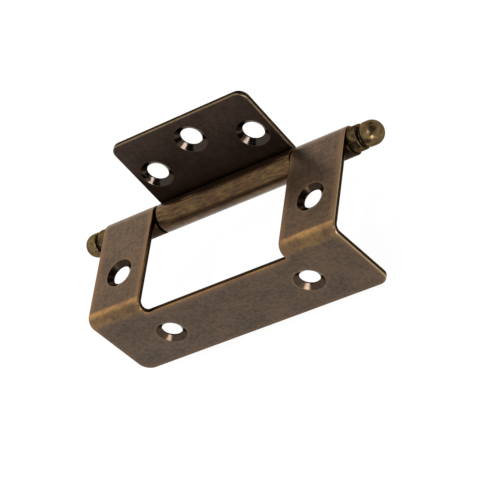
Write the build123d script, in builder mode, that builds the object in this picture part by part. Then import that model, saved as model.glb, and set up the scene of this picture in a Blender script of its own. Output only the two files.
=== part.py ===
# Cranked flush cabinet hinge with ball tips, pressed from plated sheet steel.
# The outer leaf wraps round the edge of a board and the inner leaf folds into its notch.
# X runs along the pin, Z is up and the board lies on the +Y side of the flange.
# The origin is midway between the two flange holes, on the flange's seat face.
from build123d import *
from math import asin, atan, cos, degrees, radians, sin
import os

os.makedirs("parts", exist_ok=True)

# Sheet and rolled knuckles
sheet = 1.1
roll_radius = 3.1
pin_clearance = 0.05
seam_gap = 0.12

# Outer leaf
outer_width = 63.5
pin_to_flange_face = 24.2
flange_depth = 19.0
fold_radius = 2.2
notch_width = 36.3
notch_in_flange = 3.2
notch_corner_radius = 0.7
flange_corner_radius = 2.6

# Inner leaf, with its end play taken up towards the right-hand knuckle
inner_reach = 19.6
inner_corner_radius = 2.2
right_end_gap = 0.3
left_end_gap = 0.8
opening_angle = 98.2

# Countersunk screw holes
outer_hole_radius = 2.15
outer_sink_radius = 3.3
inner_hole_radius = 2.3
inner_sink_radius = 3.5
sink_depth = 0.8
flange_hole_from_end = 13.9
flange_hole_from_face = 10.75
arm_hole_from_pin = 13.4
leaf_hole_from_end = 4.9
leaf_side_hole_from_pin = 9.5
leaf_middle_hole_from_pin = 14.05

# Pin and ball tips
collar_radius = 2.7
collar_length = 2.35
collar_round = 0.25
groove_width = 0.8
neck_radius = 2.05
ball_radius = 2.6
ball_from_knuckle = 4.45
ball_foot_round = 0.3
spigot_radius = 1.2
spigot_length = 3.4
spigot_clearance = 0.02
spigot_end_room = 0.3
shoulder_recess = 0.3
pin_chamfer = 0.3

# Positions that follow from the sizes above
bore_radius = roll_radius - sheet
pin_radius = bore_radius - pin_clearance
pin_y = pin_to_flange_face - sheet
pin_z = flange_hole_from_face - roll_radius
half_outer = outer_width / 2
inner_width = notch_width - left_end_gap - right_end_gap
inner_shift = (left_end_gap - right_end_gap) / 2
flange_hole_x = half_outer - flange_hole_from_end
arm_hole_x = (half_outer + notch_width / 2) / 2
leaf_hole_x = inner_width / 2 - leaf_hole_from_end
notch_floor_z = flange_hole_from_face - notch_in_flange
fold_centre = (pin_to_flange_face - fold_radius, roll_radius - fold_radius)
flange_end = roll_radius - flange_depth
roll_end_angle = degrees(asin((bore_radius - seam_gap) / roll_radius))
roll_sweep = 270 + roll_end_angle


def section_plane(x, opening):
    """Plane across the pin at x; local x runs along the sheet, turned by opening from the arms."""
    along = (0, -cos(radians(opening)), sin(radians(opening)))
    return Plane(origin=(x, pin_y, pin_z), x_dir=along, z_dir=(-1, 0, 0))


def rolled_end():
    """Draw the roll round the pin, from the outer face, round to the seam and back to the inner face."""
    CenterArc((0, 0), roll_radius, 90, roll_sweep)
    seam = Vector(cos(radians(roll_end_angle)), sin(radians(roll_end_angle)))
    Line(seam * roll_radius, seam * bore_radius)
    CenterArc((0, 0), bore_radius, 90, roll_sweep)


def screw_hole(plane, hole_radius, sink_radius, *positions):
    """Countersunk holes from the face that the plane lies on, through the sheet."""
    angle = 2 * degrees(atan((sink_radius - hole_radius) / sink_depth))
    with Locations(plane):
        with Locations(*positions):
            CounterSinkHole(hole_radius, sink_radius, 2 * sheet, angle)


# Outer leaf: rolled at the pin, flat over the board's edge, folded down and notched
with BuildPart() as outer_leaf:
    with BuildSketch(section_plane(half_outer, 0)):
        with BuildLine():
            rolled_end()
            Line((0, roll_radius), (fold_centre[0], roll_radius))
            CenterArc(fold_centre, fold_radius, 0, 90)
            Line((pin_to_flange_face, fold_centre[1]), (pin_to_flange_face, flange_end))
            Line((pin_to_flange_face, flange_end), (pin_y, flange_end))
            Line((pin_y, flange_end), (pin_y, fold_centre[1]))
            CenterArc(fold_centre, fold_radius - sheet, 0, 90)
            Line((fold_centre[0], bore_radius), (0, bore_radius))
        make_face()
    extrude(amount=outer_width)
    # Notch between the arms, through the fold and a little way down the flange
    with BuildSketch(Plane.XZ.offset(-pin_y)) as notch_outline:
        with Locations((0, notch_floor_z)):
            Rectangle(notch_width, 2 * roll_radius, align=(Align.CENTER, Align.MIN))
        fillet(notch_outline.vertices().group_by(Axis.Z)[0], notch_corner_radius)
    extrude(amount=pin_to_flange_face + sheet, mode=Mode.SUBTRACT)
    with BuildSketch(Plane.YZ):
        with Locations((pin_y, pin_z)):
            Rectangle(3 * roll_radius, 3 * roll_radius)
    extrude(amount=notch_width / 2, both=True, mode=Mode.SUBTRACT)
    free_corners = outer_leaf.edges().filter_by(Axis.Y).group_by(Axis.Z)[0]
    fillet(free_corners, flange_corner_radius)
    flange_face = Plane(origin=(0, -sheet, 0), x_dir=(1, 0, 0), z_dir=(0, -1, 0))
    screw_hole(flange_face, outer_hole_radius, outer_sink_radius, (-flange_hole_x, 0), (flange_hole_x, 0))
    arm_face = Plane.XY.offset(pin_z + roll_radius)
    arm_hole_y = pin_y - arm_hole_from_pin
    screw_hole(arm_face, outer_hole_radius, outer_sink_radius, (-arm_hole_x, arm_hole_y), (arm_hole_x, arm_hole_y))
outer_leaf.part.label = "outer_leaf"
export_step(outer_leaf.part, "parts/outer_leaf.step")

# Inner leaf: a flat plate with its whole width rolled into the middle knuckle
with BuildPart() as inner_leaf:
    leaf_section = section_plane(inner_shift + inner_width / 2, opening_angle)
    with BuildSketch(leaf_section):
        with BuildLine():
            rolled_end()
            Polyline(
                (0, roll_radius),
                (inner_reach, roll_radius),
                (inner_reach, bore_radius),
                (0, bore_radius),
            )
        make_face()
    extrude(amount=inner_width)
    along_leaf = Axis(leaf_section.origin, leaf_section.x_dir)
    end_edges = inner_leaf.edges().group_by(along_leaf)[-1]
    fillet(end_edges.filter_by(Axis.X, reverse=True), inner_corner_radius)
    leaf_face = Plane(
        origin=leaf_section.from_local_coords((0, bore_radius, inner_width / 2)),
        x_dir=(1, 0, 0),
        z_dir=-leaf_section.y_dir,
    )
    screw_hole(
        leaf_face,
        inner_hole_radius,
        inner_sink_radius,
        (-leaf_hole_x, leaf_side_hole_from_pin),
        (leaf_hole_x, leaf_side_hole_from_pin),
        (0, leaf_middle_hole_from_pin),
    )
inner_leaf.part.label = "inner_leaf"
export_step(inner_leaf.part, "parts/inner_leaf.step")

# Pin: a plain rod through all the knuckles, turned down at both ends
with BuildPart() as hinge_pin:
    with BuildSketch(Plane.YZ):
        with Locations((pin_y, pin_z)):
            Circle(pin_radius)
    extrude(amount=half_outer - shoulder_recess, both=True)
    chamfer(hinge_pin.edges().filter_by(GeomType.CIRCLE), pin_chamfer)
    with BuildSketch(Plane.YZ):
        with Locations((pin_y, pin_z)):
            Circle(spigot_radius)
    extrude(amount=half_outer + spigot_length, both=True)
hinge_pin.part.label = "hinge_pin"
export_step(hinge_pin.part, "parts/hinge_pin.step")


def ball_tip():
    """Draw half the turned tip above the pin's axis, from the knuckle's end outwards."""
    collar_end = half_outer + collar_length
    foot = collar_end + groove_width
    ball_x = half_outer + ball_from_knuckle
    blind_end = half_outer + spigot_length + spigot_end_room
    hole = spigot_radius + spigot_clearance
    Polyline(
        (ball_x + ball_radius, 0),
        (blind_end, 0),
        (blind_end, hole),
        (half_outer, hole),
        (half_outer, collar_radius),
        (collar_end - collar_round, collar_radius),
    )
    CenterArc((collar_end - collar_round, collar_radius - collar_round), collar_round, 0, 90)
    Polyline(
        (collar_end, collar_radius - collar_round),
        (collar_end, neck_radius),
        (foot, neck_radius),
        (foot, ball_radius - ball_foot_round),
    )
    CenterArc((foot + ball_foot_round, ball_radius - ball_foot_round), ball_foot_round, 90, 90)
    Line((foot + ball_foot_round, ball_radius), (ball_x, ball_radius))
    CenterArc((ball_x, 0), ball_radius, 0, 90)


pin_axis = Axis((0, pin_y, pin_z), (1, 0, 0))
tip_plane = Plane(origin=(0, pin_y, pin_z), x_dir=(1, 0, 0), z_dir=(0, -1, 0))

# Ball tips: collar and ball turned in one piece, pressed onto the pin's ends
with BuildPart() as right_tip:
    with BuildSketch(tip_plane):
        with BuildLine():
            ball_tip()
        make_face()
    revolve(axis=pin_axis)
right_tip.part.label = "right_tip"
export_step(right_tip.part, "parts/right_tip.step")

with BuildPart() as left_tip:
    with BuildSketch(tip_plane):
        with BuildLine():
            ball_tip()
            mirror(about=Plane.YZ, mode=Mode.REPLACE)
        make_face()
    revolve(axis=pin_axis)
left_tip.part.label = "left_tip"
export_step(left_tip.part, "parts/left_tip.step")
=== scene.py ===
# %% [markdown]
# # A cranked flush hinge in antique brass
# The real object is a small cabinet hinge. Two leaves are pressed from 1.1 mm steel sheet, rolled round
# one pin, plated with brass, blackened, and tumbled so that brass shows again where the parts rub.
# Each leaf is made here as the press makes it: a flat blank with countersunk holes, bent afterwards.
# A box-modelled leaf would need its fold, roll and edge wear lined up by hand. On a flat blank the
# distance to a punched edge is a plain 2-D measurement, and bending carries it along.

# %% Load the frame
import bmesh
import bpy
import math
import numpy as np
from functools import partial
from mathutils import Matrix, Vector
from mathutils.geometry import delaunay_2d_cdt


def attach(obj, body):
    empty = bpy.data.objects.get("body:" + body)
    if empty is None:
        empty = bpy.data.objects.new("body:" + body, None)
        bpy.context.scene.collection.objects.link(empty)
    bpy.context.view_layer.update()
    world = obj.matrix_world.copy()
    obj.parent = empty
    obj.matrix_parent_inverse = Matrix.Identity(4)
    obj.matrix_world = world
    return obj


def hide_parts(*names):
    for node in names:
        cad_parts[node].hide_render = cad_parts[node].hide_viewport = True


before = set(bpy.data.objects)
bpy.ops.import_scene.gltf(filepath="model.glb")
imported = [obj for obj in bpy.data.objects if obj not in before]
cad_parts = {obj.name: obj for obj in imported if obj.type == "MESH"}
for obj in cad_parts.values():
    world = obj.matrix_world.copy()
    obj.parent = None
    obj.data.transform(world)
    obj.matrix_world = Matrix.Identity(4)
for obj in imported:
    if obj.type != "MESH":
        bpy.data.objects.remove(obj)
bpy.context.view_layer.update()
MM = 0.001


print("CAD nodes:", sorted(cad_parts))

# %% [markdown]
# ## Three small helpers
# A paint chart or a photograph gives sRGB colours as hex values, but a shader works on linear light,
# so one function turns hex to linear. The second adds a node to any tree, sets its fields and fills
# its inputs, in order or by name. Where a socket wants a value it also takes a node, so that nodes can
# be put together like a formula. It serves shader nodes and geometry nodes alike. The third starts a
# material with no nodes in it.

# %% Colour, node and material helpers
def linear(hex_code):
    """An sRGB hex colour as linear RGBA."""
    channels = [int(hex_code[i:i + 2], 16) / 255 for i in (0, 2, 4)]
    return (*[c / 12.92 if c <= 0.04045 else ((c + 0.055) / 1.055) ** 2.4 for c in channels], 1.0)


def add_node(tree, kind, *values, named=None, **settings):
    """Add a node and fill its inputs, in order or by name; a value that is a node or socket is linked."""
    node = tree.nodes.new(kind)
    for field, value in settings.items():
        setattr(node, field, value)
    sockets = [socket for socket in node.inputs if socket.enabled]
    by_name = [(node.inputs[name], value) for name, value in (named or {}).items()]
    for socket, value in [*zip(sockets, values), *by_name]:
        if isinstance(value, bpy.types.Node):
            value = next(output for output in value.outputs if output.enabled)
        if isinstance(value, bpy.types.NodeSocket):
            tree.links.new(value, socket)
        else:
            socket.default_value = value
    return node


def new_material(name):
    """A material without nodes, and the function that adds nodes to it."""
    material = bpy.data.materials.new(name)
    material.use_nodes = True
    material.node_tree.nodes.clear()
    return material, partial(add_node, material.node_tree)


print("brass A8824E in linear light:", [round(c, 3) for c in linear("A8824E")])

# %% [markdown]
# ## The sizes of the sheet
# These are the sizes in the part's source, in millimetres. A blank is measured along the outer face:
# x runs along the pin and s runs across it, with s = 0 where the flat part meets the roll. The roll
# is at negative s and its free end, the seam, is at the most negative one.

# %% Sizes of sheet, roll and fold
SHEET = 1.1
ROLL_RADIUS = 3.1
SEAM_GAP = 0.12
FOLD_RADIUS = 2.2
PIN_TO_FLANGE_FACE = 24.2
FLANGE_HOLE_TO_ARM_FACE = 10.75
PIN = (0.0, PIN_TO_FLANGE_FACE - SHEET, FLANGE_HOLE_TO_ARM_FACE - ROLL_RADIUS)
FOLD_START = PIN_TO_FLANGE_FACE - FOLD_RADIUS
FLANGE_TOP = FOLD_START + FOLD_RADIUS * math.pi / 2
ROLL_TURN = 1.5 * math.pi + math.asin((ROLL_RADIUS - SHEET - SEAM_GAP) / ROLL_RADIUS)
SEAM = -ROLL_RADIUS * ROLL_TURN


def developed(height):
    """Where a height on the flange lies along the unfolded sheet."""
    return FLANGE_TOP + (FLANGE_HOLE_TO_ARM_FACE - FOLD_RADIUS) - height


print(f"rolled up at the pin {-SEAM:.2f} mm, in the fold {FLANGE_TOP - FOLD_START:.2f} mm")

# %% [markdown]
# ## Outlines of the blanks
# A press tool cuts each blank in one stroke. The outline is a list of corners, some of them rounded.
# A curve object with bevelled corners could hold it too, but plain points are easier to measure from.

# %% Round the corners of an outline
ARC_POINTS = 9


def rounded_outline(corners):
    """Turn (x, s, radius) corners into points, with an arc at each corner that has a radius."""
    points = []
    for i, (x, s, radius) in enumerate(corners):
        here = np.array((x, s))
        before = np.array(corners[i - 1][:2]) - here
        after = np.array(corners[(i + 1) % len(corners)][:2]) - here
        before /= np.linalg.norm(before)
        after /= np.linalg.norm(after)
        if radius == 0:
            points.append(here)
            continue
        centre = here + radius * (before + after)
        for turn in np.linspace(0, math.pi / 2, ARC_POINTS):
            points.append(centre - radius * (before * math.sin(turn) + after * math.cos(turn)))
    return np.array(points)


print("a rounded corner becomes", ARC_POINTS, "points")

# %% Outer blank
HALF_OUTER = 31.75
HALF_NOTCH = 18.15
NOTCH_IN_FLANGE = 3.2
NOTCH_CORNER = 0.7
FLANGE_DEPTH = 19.0
FLANGE_CORNER = 2.6
NOTCH_FLOOR = developed(FLANGE_HOLE_TO_ARM_FACE - NOTCH_IN_FLANGE)
FLANGE_END = developed(FLANGE_HOLE_TO_ARM_FACE - FLANGE_DEPTH)
outer_outline = rounded_outline([
    (-HALF_OUTER, SEAM, 0), (-HALF_NOTCH, SEAM, 0),
    (-HALF_NOTCH, NOTCH_FLOOR, NOTCH_CORNER), (HALF_NOTCH, NOTCH_FLOOR, NOTCH_CORNER),
    (HALF_NOTCH, SEAM, 0), (HALF_OUTER, SEAM, 0),
    (HALF_OUTER, FLANGE_END, FLANGE_CORNER), (-HALF_OUTER, FLANGE_END, FLANGE_CORNER),
])
OUTER_HOLE = (2.15, 3.3)  # radius of the hole and of its countersink's rim
FLANGE_HOLE_FROM_END = 13.9
FLANGE_HOLE_X = HALF_OUTER - FLANGE_HOLE_FROM_END
ARM_HOLE_X = (HALF_OUTER + HALF_NOTCH) / 2
ARM_HOLE_FROM_PIN = 13.4
outer_holes = [
    (side * x, s, *OUTER_HOLE)
    for x, s in ((FLANGE_HOLE_X, developed(0.0)), (ARM_HOLE_X, ARM_HOLE_FROM_PIN)) for side in (-1, 1)]
print("outer blank:", len(outer_outline), "points round it,", len(outer_holes), "holes")

# %% Inner blank
LEAF_REACH = 19.6
LEAF_CORNER = 2.2
LEFT_END_GAP = 0.8
RIGHT_END_GAP = 0.3
INNER_LEFT = -HALF_NOTCH + LEFT_END_GAP
INNER_RIGHT = HALF_NOTCH - RIGHT_END_GAP
INNER_MIDDLE = (INNER_LEFT + INNER_RIGHT) / 2
inner_outline = rounded_outline([
    (INNER_LEFT, SEAM, 0), (INNER_RIGHT, SEAM, 0),
    (INNER_RIGHT, LEAF_REACH, LEAF_CORNER), (INNER_LEFT, LEAF_REACH, LEAF_CORNER),
])
INNER_HOLE = (2.3, 3.5)
HOLE_FROM_END = 4.9
SIDE_HOLE_FROM_PIN = 9.5
MIDDLE_HOLE_FROM_PIN = 14.05
inner_holes = [
    (INNER_LEFT + HOLE_FROM_END, SIDE_HOLE_FROM_PIN, *INNER_HOLE),
    (INNER_RIGHT - HOLE_FROM_END, SIDE_HOLE_FROM_PIN, *INNER_HOLE),
    (INNER_MIDDLE, MIDDLE_HOLE_FROM_PIN, *INNER_HOLE),
]
print("inner blank:", len(inner_outline), "points round it,", len(inner_holes), "holes")

# %% [markdown]
# ## Press the blanks
# The blank is meshed once in 2-D and used for both faces. Rings that run inside the outline and round
# the holes carry the rounded edges and the countersinks, and straight lines across it are where it will
# bend. A constrained triangulation keeps all those lines, so the mesh is fine where the shape turns and
# coarse where the sheet is flat. The die draws the sheet's edges down a little on the side where it
# goes in, and the tumbler takes the sharpness off the other side. The finish needs to know where it is
# on the blank, so each point stores its flat place, its distance to the punched outline and its
# distance from the countersink's rim, and the cut walls are marked as sheared.

# %% Measure a blank
def edge_distance(points, outline):
    """Each point's distance to the outline."""
    best = np.full(len(points), np.inf)
    for a, b in zip(outline, np.roll(outline, -1, axis=0)):
        along = b - a
        share = np.clip(((points - a) @ along) / (along @ along), 0, 1)
        best = np.minimum(best, np.linalg.norm(points - a - share[:, None] * along, axis=1))
    return best


def inside(points, outline):
    """True for each point inside the outline, by counting the sides that a ray from it crosses."""
    odd = np.zeros(len(points), bool)
    for a, b in zip(outline, np.roll(outline, -1, axis=0)):
        if a[1] == b[1]:
            continue
        crosses = (a[1] > points[:, 1]) != (b[1] > points[:, 1])
        slope = (b[0] - a[0]) / (b[1] - a[1])
        odd ^= crosses & (points[:, 0] < a[0] + (points[:, 1] - a[1]) * slope)
    return odd


def inset(outline, distance):
    """The outline moved into the sheet, with mitred corners."""
    along = np.roll(outline, -1, axis=0) - outline
    along /= np.linalg.norm(along, axis=1)[:, None]
    normal = np.column_stack((-along[:, 1], along[:, 0]))
    just_beside = outline[:1] + 0.5 * along[:1] + 0.01 * normal[:1]
    if not inside(just_beside, outline)[0]:
        normal = -normal
    previous = np.roll(normal, 1, axis=0)
    mitre = (normal + previous) / (1 + (normal * previous).sum(axis=1))[:, None]
    return outline + distance * mitre


print("outer outline, 1 mm in, reaches x =", inset(outer_outline, 1.0)[:, 0].max().round(2))

# %% Lines that the mesh keeps
DIE_ROUND = 0.26
TUMBLED_ROUND = 0.08
WEAR_RINGS = (0.4, 0.8, 1.2, 1.6, 2.0)
RIM_RINGS = (-0.08, -0.03, 0.03, 0.08, 0.3, 0.7)
CONE_FOOT_RING = 0.05
HOLE_POINTS = 72
PAST_THE_SHEET = 1


def ring_steps(radius):
    """Distances from the edge at which a rounded edge gets its points."""
    return [radius * (1 - math.cos(math.radians(a))) for a in range(0, 91, 18)]


def kept_lines(outline, holes, bends):
    """Points and edges of the rings along the outline, the rings round the holes and the bend lines."""
    distances = sorted({*ring_steps(DIE_ROUND), *ring_steps(TUMBLED_ROUND), *WEAR_RINGS})
    loops = [inset(outline, distance) for distance in distances]
    angles = np.linspace(0, 2 * math.pi, HOLE_POINTS, endpoint=False)
    circle = np.column_stack((np.cos(angles), np.sin(angles)))
    for x, s, hole, rim in holes:
        on_cone = (hole, hole + CONE_FOOT_RING, (hole + rim) / 2)
        for radius in (*on_cone, *(rim + step for step in RIM_RINGS)):
            loops.append(np.array((x, s)) + radius * circle)
    points, edges = [], []
    for loop in loops:
        start = len(points)
        points.extend(loop)
        edges.extend((start + i, start + (i + 1) % len(loop)) for i in range(len(loop)))
    reach = np.abs(outline[:, 0]).max() + PAST_THE_SHEET
    for s in bends:
        points.extend(((-reach, s), (reach, s)))
        edges.append((len(points) - 2, len(points) - 1))
    return points, edges


print("a rounded edge has points at", np.round(ring_steps(DIE_ROUND), 3), "mm from the edge")

# %% Triangulate a blank
SAME_POINT = 1e-4
# A hole is a polygon, and the middles of its sides lie at this share of its radius.
CHORD = math.cos(math.pi / HOLE_POINTS)


def triangulated(outline, holes, bends):
    """The blank's flat points and its triangles, without those outside it or in a hole."""
    points, edges = kept_lines(outline, holes, bends)
    flat, _, faces, *_ = delaunay_2d_cdt([Vector(p) for p in points], edges, [], 0, SAME_POINT, False)
    flat = np.array([tuple(p) for p in flat])
    faces = np.array([tuple(f) for f in faces])
    middle = flat[faces].mean(axis=1)
    keep = inside(middle, outline)
    for x, s, hole, _ in holes:
        keep &= np.hypot(middle[:, 0] - x, middle[:, 1] - s) > hole * CHORD
    used, corners = np.unique(faces[keep], return_inverse=True)
    return flat[used], corners.reshape(-1, 3)


print(f"a hole's sides come in to {CHORD:.4f} of its radius")

# %% Edges and countersinks of a blank
SINK_DEPTH = 0.8


def rounding(distance, radius):
    """How far a rounded edge lies under the face at a distance from the edge."""
    d = np.clip(distance, 0, radius)
    return radius - np.sqrt(radius ** 2 - (radius - d) ** 2)


def countersinks(flat, holes):
    """Each point's distance from the nearest countersink's rim, and the depth of the countersink there."""
    from_rim = np.full(len(flat), np.inf)
    sink = np.zeros(len(flat))
    for x, s, hole, rim in holes:
        distance = np.hypot(flat[:, 0] - x, flat[:, 1] - s)
        from_rim = np.minimum(from_rim, distance - rim)
        sink = np.maximum(sink, np.clip(SINK_DEPTH * (rim - distance) / (rim - hole), 0, SINK_DEPTH))
    return from_rim, sink


print("at the very edge the die's side lies", rounding(0.0, DIE_ROUND), "mm lower")

# %% Thicken a blank
ON_EDGE = 2e-4  # points this near to the outline are on it


def press_blank(name, outline, holes, bends, sink_below):
    """A flat blank as a mesh in metres: x along the pin, y along the sheet, z down from its outer face."""
    flat, faces = triangulated(outline, holes, bends)
    edge = edge_distance(flat, outline)
    edge[edge < ON_EDGE] = 0
    from_rim, sink = countersinks(flat, holes)
    die_side = np.maximum(rounding(edge, DIE_ROUND), sink)
    plain_side = rounding(edge, TUMBLED_ROUND)
    upper, lower = (plain_side, SHEET - die_side) if sink_below else (die_side, SHEET - plain_side)
    points = np.vstack((np.column_stack((flat, upper)), np.column_stack((flat, lower))))
    count = len(flat)
    faces = faces.tolist()
    sides = dict.fromkeys(pair for a, b, c in faces for pair in ((a, b), (b, c), (c, a)))
    rim_edges = [(a, b) for a, b in sides if (b, a) not in sides]
    underneath = [(c + count, b + count, a + count) for a, b, c in faces]
    walls = [(b, a, a + count, b + count) for a, b in rim_edges]
    mesh = bpy.data.meshes.new(name)
    mesh.from_pydata((points * MM).tolist(), [], faces + underneath + walls)
    blank = mesh.attributes.new("blank_mm", "FLOAT_VECTOR", "POINT")
    blank.data.foreach_set("vector", points.ravel())
    measured = {"edge_mm": np.minimum(edge, max(WEAR_RINGS)),
                "sink_mm": np.minimum(from_rim, max(RIM_RINGS))}
    for label, values in measured.items():
        mesh.attributes.new(label, "FLOAT", "POINT").data.foreach_set("value", np.tile(values, 2))
    sheared = mesh.attributes.new("sheared", "FLOAT", "FACE")
    sheared.data.foreach_set("value", np.repeat((0.0, 1.0), (2 * len(faces), len(walls))))
    print(name, len(mesh.vertices), "points,", len(mesh.polygons), "faces")
    return mesh


# %% Press both blanks
ROLL_STEPS = 61
FOLD_STEPS = 12
roll_bends = list(np.linspace(SEAM, 0, ROLL_STEPS + 1)[1:])
fold_bends = list(np.linspace(FOLD_START, FLANGE_TOP, FOLD_STEPS + 1))
outer_blank = press_blank("outer_leaf_blank", outer_outline, outer_holes, roll_bends + fold_bends, False)
inner_blank = press_blank("inner_leaf_blank", inner_outline, inner_holes, roll_bends, True)

# %% [markdown]
# ## Roll and fold the sheet with Geometry Nodes
# Both leaves follow one rule: where s is negative the sheet runs round the pin, then it is flat, and
# past the fold's start it turns through a right angle. A Simple Deform modifier bends everything
# by one rate, so it can't do this. The tree works out each point's new place from its s and its
# depth t, and then swings the leaf round the pin by its opening angle. The formula is kept as a
# table, one Math node to a row: the row's name, what it does, and the one or two values it takes.

# %% The formula
ROLL_AND_FOLD = (
    ("back", "MULTIPLY", "s", -1.0), ("rolled length", "MAXIMUM", "back", 0.0),
    ("rolled", "DIVIDE", "rolled length", "Roll Radius"),
    ("ahead", "MAXIMUM", "s", 0.0), ("flat run", "MINIMUM", "ahead", "Fold Start"),
    ("past", "SUBTRACT", "s", "Fold Start"), ("past start", "MAXIMUM", "past", 0.0),
    ("turned", "DIVIDE", "past start", "Fold Radius"), ("folded", "MINIMUM", "turned", math.pi / 2),
    ("folded length", "MULTIPLY", "folded", "Fold Radius"),
    ("drop", "SUBTRACT", "past start", "folded length"),
    ("roll arm", "SUBTRACT", "Roll Radius", "t"), ("fold arm", "SUBTRACT", "Fold Radius", "t"),
    ("fold sine", "SINE", "folded"), ("fold run", "MULTIPLY", "fold arm", "fold sine"),
    ("roll sine", "SINE", "rolled"), ("roll run", "MULTIPLY", "roll arm", "roll sine"),
    ("forwards", "ADD", "flat run", "fold run"), ("along", "SUBTRACT", "forwards", "roll run"),
    ("roll cosine", "COSINE", "rolled"), ("roll height", "MULTIPLY", "roll arm", "roll cosine"),
    ("fold cosine", "COSINE", "folded"), ("fold depth", "SUBTRACT", 1.0, "fold cosine"),
    ("fold fall", "MULTIPLY", "fold arm", "fold depth"),
    ("level", "SUBTRACT", "roll height", "fold fall"), ("height", "SUBTRACT", "level", "drop"),
    ("y", "MULTIPLY", "along", -1.0), ("swing", "MULTIPLY", "Opening", -1.0),
)
print("the formula takes", len(ROLL_AND_FOLD), "Math nodes")

# %% The rolling and folding tree
def new_tree(name, takes, gives):
    """A geometry tree with its inputs and its output, and the function that adds nodes to it."""
    tree = bpy.data.node_groups.new(name, "GeometryNodeTree")
    tree.is_modifier = True
    for label, kind in takes.items():
        tree.interface.new_socket(label, in_out="INPUT", socket_type="NodeSocket" + kind)
    tree.interface.new_socket(gives, in_out="OUTPUT", socket_type="NodeSocketGeometry")
    return tree, partial(add_node, tree)


def rolling_tree():
    """Geometry nodes that roll a blank round the pin, fold it and swing it open."""
    tree, add = new_tree("Roll and fold sheet", {
        "Blank": "Geometry", "Roll Radius": "Float", "Fold Start": "Float", "Fold Radius": "Float",
        "Opening": "Float", "Pin": "Vector", "Finish": "Material"}, "Leaf")
    given = add("NodeGroupInput").outputs
    x, s, t = add("ShaderNodeSeparateXYZ", add("GeometryNodeInputPosition")).outputs
    value = {"s": s, "t": t, **{socket.name: socket for socket in given if socket.name}}
    for name, operation, *taken in ROLL_AND_FOLD:
        value[name] = add("ShaderNodeMath", *(value.get(v, v) for v in taken), operation=operation)
    bent = add("ShaderNodeCombineXYZ", x, value["y"], value["height"])
    swung = add("ShaderNodeVectorRotate", named={"Vector": bent, "Angle": value["swing"]},
                rotation_type="X_AXIS")
    placed = add("ShaderNodeVectorMath", swung, given["Pin"], operation="ADD")
    moved = add("GeometryNodeSetPosition", named={"Geometry": given["Blank"], "Position": placed})
    real = add("GeometryNodeRealizeInstances", moved)
    finished = add("GeometryNodeSetMaterial", real, named={"Material": given["Finish"]})
    add("NodeGroupOutput", finished)
    return tree


roll_and_fold = rolling_tree()
print("the rolling tree has", len(roll_and_fold.nodes), "nodes")

# %% Run a tree and clean up what it made
SAME_PLACE = 0.002  # points nearer than this, in mm, become one


def run_tree(name, mesh, tree, values):
    """Run a tree on a mesh with its inputs given by name; return a plain object at the origin."""
    source = bpy.data.objects.new(name + "_source", mesh)
    bpy.context.scene.collection.objects.link(source)
    modifier = source.modifiers.new("Tree", "NODES")
    modifier.node_group = tree
    for item in tree.interface.items_tree:
        if item.in_out == "INPUT" and item.name in values:
            modifier[item.identifier] = values[item.name]
    evaluated = source.evaluated_get(bpy.context.evaluated_depsgraph_get())
    result = bpy.data.objects.new(name, bpy.data.meshes.new_from_object(evaluated))
    bpy.context.scene.collection.objects.link(result)
    bpy.data.objects.remove(source)
    return result


def close_and_smooth(piece, sharp_angle):
    """Merge doubles, turn all faces outwards and shade smooth, but for edges over the angle in degrees."""
    work = bmesh.new()
    work.from_mesh(piece.data)
    bmesh.ops.remove_doubles(work, verts=work.verts, dist=SAME_PLACE * MM)
    bmesh.ops.recalc_face_normals(work, faces=work.faces)
    open_edges = sum(not e.is_manifold for e in work.edges)
    volume = work.calc_volume(signed=True) / MM ** 3
    work.to_mesh(piece.data)
    work.free()
    piece.data.shade_smooth()
    piece.data.set_sharp_from_angle(angle=math.radians(sharp_angle))
    print(piece.name, len(piece.data.polygons), "faces,", open_edges, f"open edges, {volume:.0f} mm3")


# %% [markdown]
# ## Antique brass: noise, masks and coats
# A brass plate is blackened in a bath and then tumbled or brushed. Dark brown stays on the flat faces,
# and yellow brass comes back at edges, folds and rims. A picture of real metal would be quicker, but
# noise on the sheet's own millimetres stays sharp at any distance and follows the sheet round its
# bends, so each grain below has a real size. A mask says where a coat of colour lies: it is a product
# of smooth steps, for example across an edge or along the fold. The coats are laid one over another.

# %% Noise, masks and coats
def grain(add, spot, size_mm, detail=4.0, stretch=(1.0, 1.0, 1.0), offset=0.0, turn=0.0):
    """Noise with grains of a size in millimetres, drawn out where stretch is under 1."""
    turned = add("ShaderNodeVectorRotate", named={"Vector": spot, "Angle": math.radians(turn)})
    scale = [c / size_mm for c in stretch]
    placed = add("ShaderNodeMapping", turned, (offset, offset * 0.7, 0), named={"Scale": scale})
    return add("ShaderNodeTexNoise", placed, named={"Scale": 1.0, "Detail": detail, "Roughness": 0.65})


def mask(add, amount, *steps):
    """An amount times smooth steps; each is a value, its start and end, and what it goes from and to."""
    for value, start, end, *levels in steps:
        step = add("ShaderNodeMapRange", value, start, end, *(levels or (0.0, 1.0)),
                   interpolation_type="SMOOTHSTEP")
        amount = step if amount == 1 else add("ShaderNodeMath", step, amount, operation="MULTIPLY")
    return amount


def coated(add, colour, *coats):
    """Lay coats over a colour; each is a mask and a colour."""
    for share, coat in coats:
        coat = linear(coat) if isinstance(coat, str) else coat
        colour = add("ShaderNodeMix", share, colour, coat, data_type="RGBA")
    return colour


def most(add, *masks):
    """The largest of several masks."""
    largest = masks[0]
    for other in masks[1:]:
        largest = add("ShaderNodeMath", largest, other, operation="MAXIMUM")
    return largest


# %% [markdown]
# ## The blackened face and the bare brass
# The bath leaves slow clouds about 7 mm wide and a mottle of about 1 mm. Tumbling adds bright and
# black points of a third of a millimetre and fine scratches two ways. A plated face is a smooth metal
# with a satin sheen. It is smoother where it is rubbed, and a thin lacquer lies over it.

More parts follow.
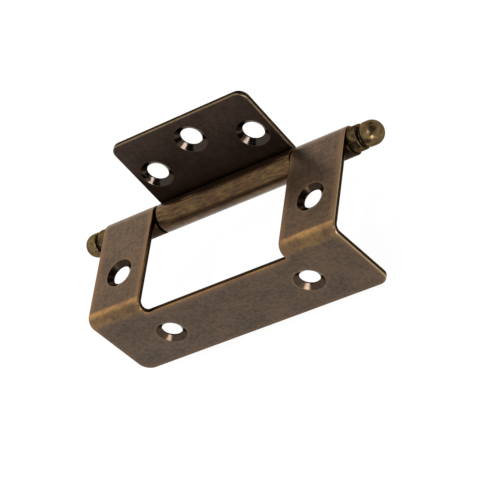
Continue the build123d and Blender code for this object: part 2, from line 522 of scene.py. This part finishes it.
# %% Colours of the plate
# Grain sizes in mm. The real scratches are finer, but 0.2 mm is as thin as still shows here. The
# offsets in the function only keep one noise from lying on another.
CLOUDS = 7.0
MOTTLE = 0.9
SPECKLE = 0.33
SCRATCH = 0.2
SCRATCH_STRETCH = (0.035, 1.0, 1.0)
BLACK_POINT = "221A15"


def blackened_brass(add, spot, look):
    """The noises, the blackened colour with its points and scratches, and the bare brass."""
    clouds = grain(add, spot, CLOUDS, detail=3.0)
    mottle = grain(add, spot, MOTTLE, detail=6.0, offset=3.1)
    speckle = grain(add, spot, SPECKLE, detail=3.0, offset=7.7)
    slow = add("ShaderNodeMath", clouds, 0.4, operation="MULTIPLY")
    tone = add("ShaderNodeMath", mottle, 0.6, slow, operation="MULTIPLY_ADD")
    coats = [(mask(add, 1, (tone, 0.36, 0.64)), look["brown"]),
             (mask(add, look["points"], (speckle, 0.50, 0.80)), look["brass"]),
             (mask(add, 0.35, (speckle, 0.48, 0.24)), BLACK_POINT)]
    for turn, offset in ((28, 12.4), (-47, 17.9)):
        lines = grain(add, spot, SCRATCH, detail=1.0, stretch=SCRATCH_STRETCH, offset=offset, turn=turn)
        scratched = mask(add, 0.4 * look["points"], (lines, 0.62, 0.74), (mottle, 0.42, 0.58))
        coats.append((scratched, look["brass"]))
    black = coated(add, linear(look["dark"]), *coats)
    bare = coated(add, linear(look["copper"]), (mask(add, 1, (clouds, 0.38, 0.60)), look["brass"]))
    return mottle, speckle, black, bare


print("grains in mm: clouds", CLOUDS, "mottle", MOTTLE, "points", SPECKLE, "scratches", SCRATCH)

# %% Sheen of the plate
LACQUER = 0.08
DULL_SHEEN = "C8C0B8"


def satin(add, speckle, rubbed):
    """Roughness of the plate, lower where it is rubbed."""
    face = mask(add, 1, (rubbed, 0, 1, 0.28, 0.2))
    return add("ShaderNodeMath", speckle, 0.12, face, operation="MULTIPLY_ADD")


def brass_shader(add, mottle, speckle, colour, roughness, lacquer, edge_tint):
    """Plated metal under thin lacquer, with the mottle and the speckle as a fine relief."""
    low = add("ShaderNodeMath", mottle, 0.6, operation="MULTIPLY")
    height = add("ShaderNodeMath", speckle, 0.4, low, operation="MULTIPLY_ADD")
    bump = add("ShaderNodeBump", named={"Height": height, "Strength": 0.5, "Distance": 0.015 * MM})
    shader = add("ShaderNodeBsdfPrincipled", named={
        "Base Color": colour, "Metallic": 1.0, "Roughness": roughness, "Normal": bump,
        "Specular Tint": edge_tint, "Coat Weight": lacquer, "Coat Roughness": 0.3})
    add("ShaderNodeOutputMaterial", shader)


# %% [markdown]
# ## Where the sheet is rubbed
# The tumbler bares brass along the edges, in a soft ring round each countersink and in streaks on the
# rolls. A pale line on the die's rounding along the outer edges is partly bare brass and partly a painted
# highlight. The fold of the outer leaf is brightest where it starts, olive below that, and has a faint
# line at its foot. Cut walls and the cones keep their black. Painted shade darkens the outer leaf's
# flange a little and the lower side of the arms' rolls much more. The masks read the blank's own
# millimetres and the two distances stored on it, so they bend with the sheet.

# %% Wear of the sheet
# The steps are in mm: along the blank, from its edge, from a countersink's rim or from its middle.
STREAK = 0.45
STREAK_STRETCH = (0.2, 1.0, 1.0)


def fold_wear(add, along, mottle):
    """How far the fold is rubbed."""
    ridge = mask(add, 1, (along, FOLD_START + 1.4, FOLD_START + 0.7, 0.3, 1.0))
    foot = mask(add, 0.12, (along, FOLD_START + 1.8, FOLD_START + 2.6))
    both = add("ShaderNodeMath", ridge, foot, operation="ADD")
    worn = mask(add, both, (along, FOLD_START - 0.7, FOLD_START + 0.2),
                (along, FLANGE_TOP + 0.9, FOLD_START + 2.6), (mottle, 0.3, 0.6, 0.6, 1.1))
    return add("ShaderNodeMath", worn, 0.8, operation="MULTIPLY")


def sheet_wear(add, look, spot, along, from_rim, ragged, mottle):
    """How far the sheet is rubbed: at its edges, round its countersinks, on its roll and at its fold."""
    streaks = grain(add, spot, STREAK, detail=5.0, stretch=STREAK_STRETCH, offset=1.9)
    return most(
        add,
        mask(add, look["edge wear"], (ragged, 0.85, 0.35), (along, -4.0, -1.0)),
        mask(add, look["edge wear"], (from_rim, 0.0, 0.12), (from_rim, 0.6, 0.12, 0.0, 0.2)),
        mask(add, look["roll wear"], (along, 0.4, -0.8), (streaks, 0.32, 0.66, 0.2, 1.0),
             (along, -5.5, -3.0, look["low streaks"], 1.0)),
        fold_wear(add, along, mottle))


def bare_edge_highlight(add, look, across, along, edge, mottle):
    """Where the die's rounding along the outer edges is bare, as a thin pale line that is partly a painted
    highlight.
    """
    from_middle = add("ShaderNodeMath", across, operation="ABSOLUTE")
    return mask(add, look["pale edge"], (edge, 0.28, 0.12), (along, -1.5, 0.5),
                (mottle, 0.35, 0.6, 0.55, 0.95), (from_middle, look["pale from"], look["pale from"] + 1.0))


# %% Finish of the sheet
# Pale brass on the worn rims of the countersinks; on the outer edges its line is partly a painted
# highlight.
PALE_BRASS_AND_HIGHLIGHT = "A08A6A"
# Black film on the cut walls; the tips' grooves get the same colour as painted shade.
BLACK_FILM_AND_SHADE = "2A2119"
# Painted shade: a dark brown laid over the outer leaf's flange and the lower side of its rolls.
PAINTED_SHADE_BROWN = "1C1511"
FLANGE_CONE = "3E3630"


def plated_sheet(name, look):
    """Antique brass on pressed sheet: blackened, then rubbed at edges, fold and roll."""
    material, add = new_material(name)
    spot = add("ShaderNodeAttribute", attribute_name="blank_mm").outputs["Vector"]
    edge, from_rim, wall = [add("ShaderNodeAttribute", attribute_name=label).outputs["Fac"]
                            for label in ("edge_mm", "sink_mm", "sheared")]
    across, along, _ = add("ShaderNodeSeparateXYZ", spot).outputs
    mottle, speckle, black, bare = blackened_brass(add, spot, look)
    ragged = add("ShaderNodeMath", mottle, 0.8, edge, operation="MULTIPLY_ADD")
    arm_edges = mask(add, look["arm wear"], (ragged, 2.2, 0.6),
                     (along, NOTCH_FLOOR - 1.0, NOTCH_FLOOR + 2.0, 0.5, 0.2))
    # Painted shade: the flange and the lower part of the fold get a little of it, the lower side of the
    # outer leaf's rolls much more.
    flange = mask(add, 0.1, (along, FOLD_START + 1.0, FLANGE_TOP + 1.0))
    underside_shade = mask(add, 1, (along, -3.0, -5.5, 0.0, look["underside_shade"]))
    in_cone = mask(add, 1, (from_rim, 0.02, -0.10))
    cone = mask(add, in_cone, (along, FOLD_START, FLANGE_TOP, 0.8, 0.2))
    flange_cone = mask(add, in_cone, (along, FOLD_START, FLANGE_TOP, 0.0, 0.5))
    rim = mask(add, 0.25 * look["edge wear"], (from_rim, -0.02, 0.03), (from_rim, 0.16, 0.05))
    rubbed = sheet_wear(add, look, spot, along, from_rim, ragged, mottle)
    colour = coated(
        add, black, (arm_edges, look["copper"]), (flange, PAINTED_SHADE_BROWN), (underside_shade, PAINTED_SHADE_BROWN),
        (rubbed, bare), (rim, PALE_BRASS_AND_HIGHLIGHT), (cone, look["cone"]), (flange_cone, FLANGE_CONE),
        (bare_edge_highlight(add, look, across, along, edge, mottle), PALE_BRASS_AND_HIGHLIGHT), (wall, BLACK_FILM_AND_SHADE))
    dull = most(add, wall, in_cone, underside_shade)
    polish = add("ShaderNodeMath", in_cone, look["cone polish"], operation="MULTIPLY")
    roughness = add("ShaderNodeMath", satin(add, speckle, rubbed), polish, operation="SUBTRACT")
    brass_shader(add, mottle, speckle, colour, roughness, mask(add, 1, (dull, 0, 1, LACQUER, 0.0)),
                 coated(add, linear("FFFFFF"), (dull, DULL_SHEEN)))
    return material


# %% Finishes of the two leaves
# A look's numbers are shares from 0 to 1, apart from the last, which is mm from the blank's middle.
# Brass plate on pressed steel, blackened and tumbled: a soft satin metal, grey-brown on its flats,
# golden along folds and edges, and black in its cuts, where no tumbler reaches.
outer_finish = plated_sheet("Antique brass on pressed steel", {
    "dark": "44382E", "brown": "624F3D", "brass": "A8824E", "copper": "866548", "points": 0.25,
    "edge wear": 0.6, "arm wear": 1.0, "roll wear": 0.3, "low streaks": 0.1, "underside_shade": 0.9,
    "cone": "261F19", "cone polish": 0.12, "pale edge": 1.0, "pale from": HALF_NOTCH + 0.5})
# The same plate on the inner leaf, with less wear and with its colours darkened as painted shade: it
# looks almost black beside the outer one, and only its roll shows streaks of gold.
inner_finish = plated_sheet("Antique brass on pressed steel, shaded darker", {
    "dark": "2E231D", "brown": "3E2F28", "brass": "84683E", "copper": "6E5236", "points": 0.08,
    "edge wear": 0.1, "arm wear": 0.0, "roll wear": 0.7, "low streaks": 1.0, "underside_shade": 0.0,
    "cone": "3E3731", "cone polish": 0.22, "pale edge": 0.5, "pale from": -2.0})
print("sheet finishes:", outer_finish.name, "and", inner_finish.name)

# %% [markdown]
# ## The turned tips and the drawn pin
# The tips have the same plate on turned steel. Fingers and tools polish the ball more than the collar,
# the groove is painted black as shade, and a bright line is left on each turned corner. The pin is drawn
# rod, plain and dark. Both patterns are read in the piece's own space, in millimetres.

# %% Finish of the tips
ROD_TINT = "C0B29C"


def rod_plate(add, look):
    """The noises and colours of a rod's plate, and where hands have rubbed it."""
    metres = add("ShaderNodeTexCoord").outputs["Object"]
    spot = add("ShaderNodeVectorMath", metres, named={"Scale": 1 / MM}, operation="SCALE")
    mottle, speckle, black, bare = blackened_brass(add, spot, look)
    return mottle, speckle, black, bare, mask(add, 1, (mottle, 0.36, 0.70, 0.0, 0.35))


def plated_tip(name, look):
    """Antique brass on turned steel: polished on the ball, painted black as shade in the groove."""
    material, add = new_material(name)
    edge, on_ball, groove = [add("ShaderNodeAttribute", attribute_name=label).outputs["Fac"]
                             for label in ("edge_mm", "on_ball", "in_groove")]
    mottle, speckle, black, bare, handled = rod_plate(add, look)
    handled = add("ShaderNodeMath", on_ball, 0.2, handled, operation="MULTIPLY_ADD")
    ragged = add("ShaderNodeMath", mottle, 0.8, edge, operation="MULTIPLY_ADD")
    rubbed = most(add, handled, mask(add, 0.15, (ragged, 0.6, 0.35)))
    # The groove is painted near-black as shade, and its lacquer is left off.
    colour = coated(add, black, (rubbed, bare), (groove, BLACK_FILM_AND_SHADE))
    lacquer = mask(add, 1, (groove, 0, 1, LACQUER, 0.0))
    lacquer = add("ShaderNodeMath", on_ball, 0.1, lacquer, operation="MULTIPLY_ADD")
    brass_shader(add, mottle, speckle, colour, satin(add, speckle, rubbed), lacquer,
                 coated(add, linear(ROD_TINT), (groove, DULL_SHEEN)))
    return material


# Plate on turned steel, handled: the smooth round ball mirrors the room, so it shows two bright spots
# round a dark middle, and its groove is painted black as shade.
tip_finish = plated_tip("Antique brass on a turned tip", {
    "dark": "261D16", "brown": "3E3022", "brass": "9C8454", "copper": "7A6040", "points": 0.25})
print("finish of the tips:", tip_finish.name)

# %% Finish of the pin
def plated_pin(name, look):
    """Antique brass on drawn rod, alike all over."""
    material, add = new_material(name)
    mottle, speckle, black, bare, handled = rod_plate(add, look)
    brass_shader(add, mottle, speckle, coated(add, black, (handled, bare)),
                 satin(add, speckle, handled), LACQUER, linear(ROD_TINT))
    return material


# Plate on drawn rod: dark and even, so the gaps between the knuckles stay dark.
pin_finish = plated_pin("Antique brass on a drawn pin", {
    "dark": "2A221B", "brown": "40342A", "brass": "7A6240", "copper": "5E4632", "points": 0.25})
print("finish of the pin:", pin_finish.name)

# %% [markdown]
# ## The two leaves
# The outer leaf is folded at a right angle and lies at the frame's zero. The inner leaf has no fold,
# so its fold start is set out of reach, and it stands open by 98.2 degrees.

# %% Make both leaves
OPENING = math.radians(98.2)
OUT_OF_REACH = 1.0  # a metre along the sheet
SHARP_SHEET = 38
common = {"Roll Radius": ROLL_RADIUS * MM, "Fold Radius": FOLD_RADIUS * MM, "Pin": [c * MM for c in PIN]}
outer_leaf = run_tree("outer_leaf_pressed", outer_blank, roll_and_fold, {
    **common, "Fold Start": FOLD_START * MM, "Opening": 0.0, "Finish": outer_finish})
inner_leaf = run_tree("inner_leaf_pressed", inner_blank, roll_and_fold, {
    **common, "Fold Start": OUT_OF_REACH, "Opening": OPENING, "Finish": inner_finish})
for leaf in (outer_leaf, inner_leaf):
    close_and_smooth(leaf, SHARP_SHEET)

# %% [markdown]
# ## The turned ball tips
# Each tip is a collar and a ball turned in one piece on a lathe. The profile is half the section, as
# the turner's tool would follow it, and a tree sweeps it round a circle and sets it on the pin. A tip
# made of a cylinder and a sphere would have no neck groove and no broken edges.

# %% Profile of a tip
COLLAR_RADIUS = 2.7
COLLAR_LENGTH = 2.35
INNER_ROUND = 0.15
COLLAR_ROUND = 0.25
GROOVE_WIDTH = 0.8
GROOVE_BEVEL = 0.1
NECK_RADIUS = 2.05
BALL_FOOT = COLLAR_LENGTH + GROOVE_WIDTH
FOOT_ROUND = 0.3
BALL_RADIUS = 2.6
BALL_MIDDLE = 4.45
SPIGOT_HOLE = 1.22
HOLE_BOTTOM = 3.7
SWEEP_RADIUS = 1.0


def arc(centre, radius, start, end, count):
    """Points of an arc, given by angles in degrees."""
    return [(centre[0] + radius * math.cos(a), centre[1] + radius * math.sin(a))
            for a in np.radians(np.linspace(start, end, count))]


profile = [
    (HOLE_BOTTOM, 0.0), (HOLE_BOTTOM, SPIGOT_HOLE), (0.0, SPIGOT_HOLE),
    *arc((INNER_ROUND, COLLAR_RADIUS - INNER_ROUND), INNER_ROUND, 180, 90, 5),
    *arc((COLLAR_LENGTH - COLLAR_ROUND, COLLAR_RADIUS - COLLAR_ROUND), COLLAR_ROUND, 90, 0, 7),
    (COLLAR_LENGTH, NECK_RADIUS + GROOVE_BEVEL), (COLLAR_LENGTH + GROOVE_BEVEL, NECK_RADIUS),
    (BALL_FOOT - GROOVE_BEVEL, NECK_RADIUS), (BALL_FOOT, NECK_RADIUS + GROOVE_BEVEL),
    *arc((BALL_FOOT + FOOT_ROUND, BALL_RADIUS - FOOT_ROUND), FOOT_ROUND, 180, 90, 7),
    *arc((BALL_MIDDLE, 0), BALL_RADIUS, 90, 0, 29),
]
profile_mesh = bpy.data.meshes.new("tip_profile")
# The sweep runs along a circle, so that circle's radius comes off here.
section = [((r - SWEEP_RADIUS) * MM, -x * MM, 0) for x, r in profile]
profile_mesh.from_pydata(section, [(i, i + 1) for i in range(len(profile) - 1)], [])
print("tip's profile:", len(profile), "points,", round(profile[-1][0], 2), "mm long")

# %% The turning tree
def turning_tree():
    """Geometry nodes that sweep a profile round a circle, turn it onto the X axis and set it on the pin."""
    tree, add = new_tree("Turn a tip", {
        "Profile": "Geometry", "Side": "Float", "Knuckle End": "Vector", "Segments": "Int",
        "Finish": "Material"}, "Tip")
    given = add("NodeGroupInput").outputs
    cut = add("GeometryNodeMeshToCurve", given["Profile"])
    circle = add("GeometryNodeCurvePrimitiveCircle", given["Segments"], named={"Radius": SWEEP_RADIUS * MM})
    swept = add("GeometryNodeCurveToMesh", circle, cut)
    x, y, z = add("ShaderNodeSeparateXYZ", add("GeometryNodeInputPosition")).outputs
    outwards = add("ShaderNodeMath", z, given["Side"], operation="MULTIPLY")
    turned = add("ShaderNodeCombineXYZ", outwards, x, y)
    placed = add("ShaderNodeVectorMath", turned, given["Knuckle End"], operation="ADD")
    moved = add("GeometryNodeSetPosition", named={"Geometry": swept, "Position": placed})
    real = add("GeometryNodeRealizeInstances", moved)
    finished = add("GeometryNodeSetMaterial", real, named={"Material": given["Finish"]})
    add("NodeGroupOutput", finished)
    return tree


turning = turning_tree()
print("the turning tree has", len(turning.nodes), "nodes")

# %% Turn both tips
TIP_SEGMENTS = 96
SHARP_TIP = 50
HAIR = 0.01  # lets in the points that lie just on a limit
UNDER_THE_BALL = 0.2


def mark_wear_and_shade(tip):
    """Store how far the turned corners are, and where the ball and the groove are."""
    places = np.array([v.co for v in tip.data.vertices]) / MM
    x = np.abs(places[:, 0]) - HALF_OUTER
    r = np.hypot(places[:, 1] - PIN[1], places[:, 2] - PIN[2])
    corners = ((0, COLLAR_RADIUS), (COLLAR_LENGTH, COLLAR_RADIUS), (BALL_FOOT, BALL_RADIUS))
    to_corner = np.min([np.hypot(x - corner_x, r - corner_r) for corner_x, corner_r in corners], axis=0)
    groove = (x > COLLAR_LENGTH - HAIR) & (x < BALL_FOOT + HAIR) & (r < BALL_RADIUS - UNDER_THE_BALL)
    marks = {"edge_mm": to_corner, "on_ball": x > BALL_FOOT - HAIR, "in_groove": groove}
    for name, values in marks.items():
        layer = tip.data.attributes.new(name, "FLOAT", "POINT")
        layer.data.foreach_set("value", values.astype(float))
    print(tip.name, "spans", places.min(axis=0).round(2), "to", places.max(axis=0).round(2))


tips = {}
for label, side in (("left_tip", -1.0), ("right_tip", 1.0)):
    knuckle_end = [side * HALF_OUTER * MM, PIN[1] * MM, PIN[2] * MM]
    tips[label] = run_tree(label + "_turned", profile_mesh.copy(), turning, {
        "Side": side, "Knuckle End": knuckle_end, "Segments": TIP_SEGMENTS, "Finish": tip_finish})
    close_and_smooth(tips[label], SHARP_TIP)
    mark_wear_and_shade(tips[label])

# %% [markdown]
# ## Hand the pieces to the frame
# Each made piece stands for one CAD node and rides on that node's body, so the hinge still turns.
# The pin is hidden in the knuckles apart from two thin gaps, so its CAD solid is kept and only gets
# the drawn pin's finish.

# %% Replace the CAD nodes
stand_ins = {
    "outer_leaf": (outer_leaf, "outer"), "inner_leaf": (inner_leaf, "inner"),
    "left_tip": (tips["left_tip"], "outer"), "right_tip": (tips["right_tip"], "outer"),
}
for node, (piece, body) in stand_ins.items():
    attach(piece, body)
    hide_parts(node)
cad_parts["hinge_pin"].data.materials.clear()
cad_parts["hinge_pin"].data.materials.append(pin_finish)
print("pieces handed over:", {node: piece.name for node, (piece, _) in stand_ins.items()})

# %% [markdown]
# ## Floor and room
# The hinge was photographed on white paper in a white room. The floor and the room show as white to
# the camera and in reflections, through Light Path, and light the hinge at a plain level. The floor
# keeps a faint shadow, because a part of it is still lit paper. It lies just under the lowest place
# that the inner leaf reaches when it swings down, so it never cuts through the leaf.

# %% Floor
BELOW_THE_LEAF = 0.1
FLOOR_LEVEL = (PIN[2] - LEAF_REACH - BELOW_THE_LEAF) * MM
HALF_FLOOR = 3.0
FLOOR_GLOW = 0.88
SHADED = (0.2, 0.2, 0.2, 1)  # the part of the white that a shadow can darken
PAPER = (0.8, 0.8, 0.8, 1)  # the part that throws light back at the hinge
WHITE = (1, 1, 1, 1)


def seen_directly(add):
    """1 where the camera looks, straight or by way of metal or glass, and 0 for light on things."""
    ray = add("ShaderNodeLightPath").outputs
    straight = add("ShaderNodeMath", ray["Is Camera Ray"], ray["Is Glossy Ray"], operation="MAXIMUM")
    return add("ShaderNodeMath", straight, ray["Is Transmission Ray"], operation="MAXIMUM")


floor_mesh = bpy.data.meshes.new("floor")
floor_corners = [(x * HALF_FLOOR, y * HALF_FLOOR, FLOOR_LEVEL)
                 for x, y in ((-1, -1), (1, -1), (1, 1), (-1, 1))]
floor_mesh.from_pydata(floor_corners, [], [(0, 1, 2, 3)])
floor = bpy.data.objects.new("floor", floor_mesh)
bpy.context.scene.collection.objects.link(floor)
# Matt white paper: it shows no reflection, only the hinge's faint shadow.
sweep, add = new_material("White paper sweep")
glow = add("ShaderNodeEmission", WHITE, FLOOR_GLOW)
seen = add("ShaderNodeAddShader", add("ShaderNodeBsdfDiffuse", SHADED), glow)
paper = add("ShaderNodeBsdfDiffuse", PAPER)
add("ShaderNodeOutputMaterial", add("ShaderNodeMixShader", seen_directly(add), paper, seen))
floor_mesh.materials.append(sweep)
print("floor level", round(FLOOR_LEVEL / MM, 2), "mm")

# %% World
ROOM_LIGHT = 0.7
world = bpy.data.worlds.new("Soft white room")
bpy.context.scene.world = world
world.use_nodes = True
world.node_tree.nodes.clear()
add = partial(add_node, world.node_tree)
light = add("ShaderNodeBackground", WHITE, ROOM_LIGHT)
backdrop = add("ShaderNodeBackground", WHITE, 1.0)
add("ShaderNodeOutputWorld", add("ShaderNodeMixShader", seen_directly(add), light, backdrop))
print("the room lights the hinge at", ROOM_LIGHT, "of white")

# %% [markdown]
# ## Lamps and dark cloths
# Metal shows what stands round it, so small soft lamps and dark cloths draw the bright and dark
# shapes on it. A warm panel behind on the left is mirrored by the arms, a small lamp above and one
# in front make the two spots on the ball and the pale patches in the countersinks, and three dark
# cloths give the ball its dark middle and the cones their black sides. The cloths cast no shadow.

# %% Lamps
def face_hinge(thing, towards, distance):
    """Set a lamp or cloth in a direction from the hinge, in metres, and turn it to face the hinge."""
    thing.location = Vector(towards).normalized() * distance
    thing.rotation_mode = "QUATERNION"
    thing.rotation_quaternion = Vector(towards).to_track_quat("Z", "Y")
    bpy.context.scene.collection.objects.link(thing)


def soft_lamp(name, towards, distance, size, radiance, colour=(1, 1, 1)):
    """A square area lamp that faces the hinge, as bright as a white surface times its radiance."""
    lamp = bpy.data.lights.new(name, "AREA")
    lamp.shape = "SQUARE"
    lamp.size = size
    lamp.energy = radiance * math.pi * size ** 2
    lamp.color = colour
    face_hinge(bpy.data.objects.new(name, lamp), towards, distance)
    print(name, "of", round(lamp.energy, 2), "W")


soft_lamp("warm panel", (-0.66, 0.50, 0.55), 0.7, 0.45, 0.4, colour=(1.0, 0.65, 0.3))
soft_lamp("top softbox", (0.03, -0.43, 0.90), 0.7, 0.13, 18.0)
soft_lamp("front softbox", (0.31, -0.945, 0.09), 0.7, 0.26, 17.0)

# %% Dark cloths
# Matt dark grey cloth: seen only in the metal, where it makes an even dark shape.
cloth, add = new_material("Dark grey cloth")
add("ShaderNodeOutputMaterial", add("ShaderNodeBsdfPrincipled", linear("383838")))


def dark_cloth(name, towards, distance, width, height):
    """A hanging dark cloth that only the metal mirrors, upright and facing the hinge."""
    mesh = bpy.data.meshes.new(name)
    w, h = width / 2, height / 2
    mesh.from_pydata([(-w, -h, 0), (w, -h, 0), (w, h, 0), (-w, h, 0)], [], [(0, 1, 2, 3)])
    mesh.materials.append(cloth)
    piece = bpy.data.objects.new(name, mesh)
    piece.visible_camera = False
    piece.visible_diffuse = False
    piece.visible_shadow = False
    face_hinge(piece, towards, distance)
    print(name, "of", width, "by", height, "m")


dark_cloth("cloth on the right", (0.60, -0.02, 0.80), 0.8, 0.9, 1.0)
dark_cloth("cloth in front", (0.36, -0.84, 0.42), 1.0, 0.85, 0.9)
dark_cloth("cloth behind", (0.18, 0.78, 0.60), 0.8, 0.42, 0.5)

# %% [markdown]
# ## Camera
# The camera's place, turn and lens were worked out from the photograph together with the sizes, by
# fitting the outline and the hole rims. It stands in front, to the right and above, turned on its side.

# %% Camera
STANDPOINT = Vector((276.075, -279.73057, 286.62993)) * MM
RIGHT = Vector((0.77022, 0.11776, -0.62682))
DOWN = Vector((-0.30551, -0.79459, -0.52468))
FORWARD = Vector((-0.55985, 0.59561, -0.57604))
FOCAL_PIXELS = 2433.36
IMAGE_PIXELS = 480
SENSOR = 36
camera = bpy.data.objects.new("Camera", bpy.data.cameras.new("Camera"))
bpy.context.scene.collection.objects.link(camera)
turn = Matrix((RIGHT, -DOWN, -FORWARD)).transposed().to_4x4()
camera.matrix_world = Matrix.Translation(STANDPOINT) @ turn
camera.data.sensor_width = SENSOR
camera.data.lens = FOCAL_PIXELS / IMAGE_PIXELS * SENSOR
camera.data.clip_start = 0.01
bpy.context.scene.camera = camera
bpy.context.scene.view_settings.view_transform = "Standard"
print("lens", round(camera.data.lens, 1), "mm, standing", round(STANDPOINT.length, 3), "m away")
